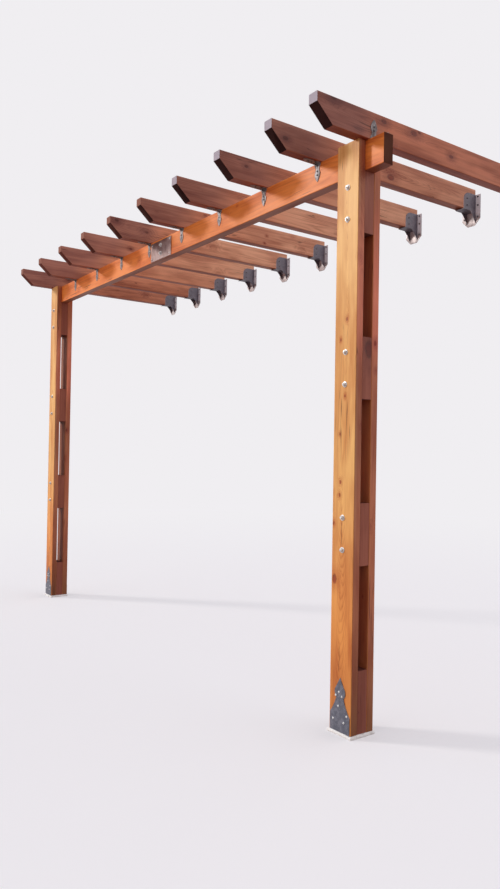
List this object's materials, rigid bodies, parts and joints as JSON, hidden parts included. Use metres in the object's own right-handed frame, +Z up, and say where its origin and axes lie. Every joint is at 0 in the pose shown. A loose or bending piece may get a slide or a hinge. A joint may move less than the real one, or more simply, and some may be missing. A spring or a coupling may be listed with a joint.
{
  "type": "wooden pergola",
  "caption": "Open timber pergola that leans on a wall: paired-plank posts, a bolted beam, level rafters with tapered tails, and steel wall hangers.",
  "frame": {"origin": "centre of the right post's footing, on its underside, at ground level", "axes": "+X along the beam to the right as seen from the garden, +Y towards the wall, +Z up"},
  "size_m": [4.178, 1.524, 2.885],
  "materials": {
    "bolt_steel": "zinc plated steel",
    "hanger_steel": "charcoal painted steel",
    "plate_steel": "grey-brown painted steel",
    "shoe_steel": "charcoal painted steel",
    "stained_beam": "satin stained pine",
    "stained_plank": "satin stained pine",
    "stained_rafter": "satin stained pine",
    "stained_spacer": "satin stained pine",
    "tie_steel": "grey painted steel",
    "white_mortar": "white mortar bed"
  },
  "bodies": {
    "root": {"beam_left_half": "stained_beam", "beam_right_half": "stained_beam", "end_rafter_ties": "tie_steel", "front_rafter_ties": "tie_steel", "hanger_a": "hanger_steel", "hanger_b": "hanger_steel", "hanger_c": "hanger_steel", "hanger_d": "hanger_steel", "hanger_e": "hanger_steel", "hanger_f": "hanger_steel", "hanger_g": "hanger_steel", "hanger_h": "hanger_steel", "hanger_i": "hanger_steel", "hanger_j": "hanger_steel", "left_footing_pad": "white_mortar", "left_post_foot_spacer": "stained_spacer", "left_post_front_plank": "stained_plank", "left_post_front_shoe": "shoe_steel", "left_post_lower_spacer": "stained_spacer", "left_post_middle_spacer": "stained_spacer", "left_post_rear_plank": "stained_plank", "left_post_rear_shoe": "shoe_steel", "left_post_top_spacer": "stained_spacer", "rafter_a": "stained_rafter", "rafter_b": "stained_rafter", "rafter_c": "stained_rafter", "rafter_d": "stained_rafter", "rafter_e": "stained_rafter", "rafter_f": "stained_rafter", "rafter_g": "stained_rafter", "rafter_h": "stained_rafter", "rafter_i": "stained_rafter", "rafter_j": "stained_rafter", "rear_rafter_ties": "tie_steel", "right_footing_pad": "white_mortar", "right_post_foot_spacer": "stained_spacer", "right_post_front_plank": "stained_plank", "right_post_front_shoe": "shoe_steel", "right_post_lower_spacer": "stained_spacer", "right_post_middle_spacer": "stained_spacer", "right_post_rear_plank": "stained_plank", "right_post_rear_shoe": "shoe_steel", "right_post_top_spacer": "stained_spacer", "splice_plates": "plate_steel"}
  },
  "joints": []
}
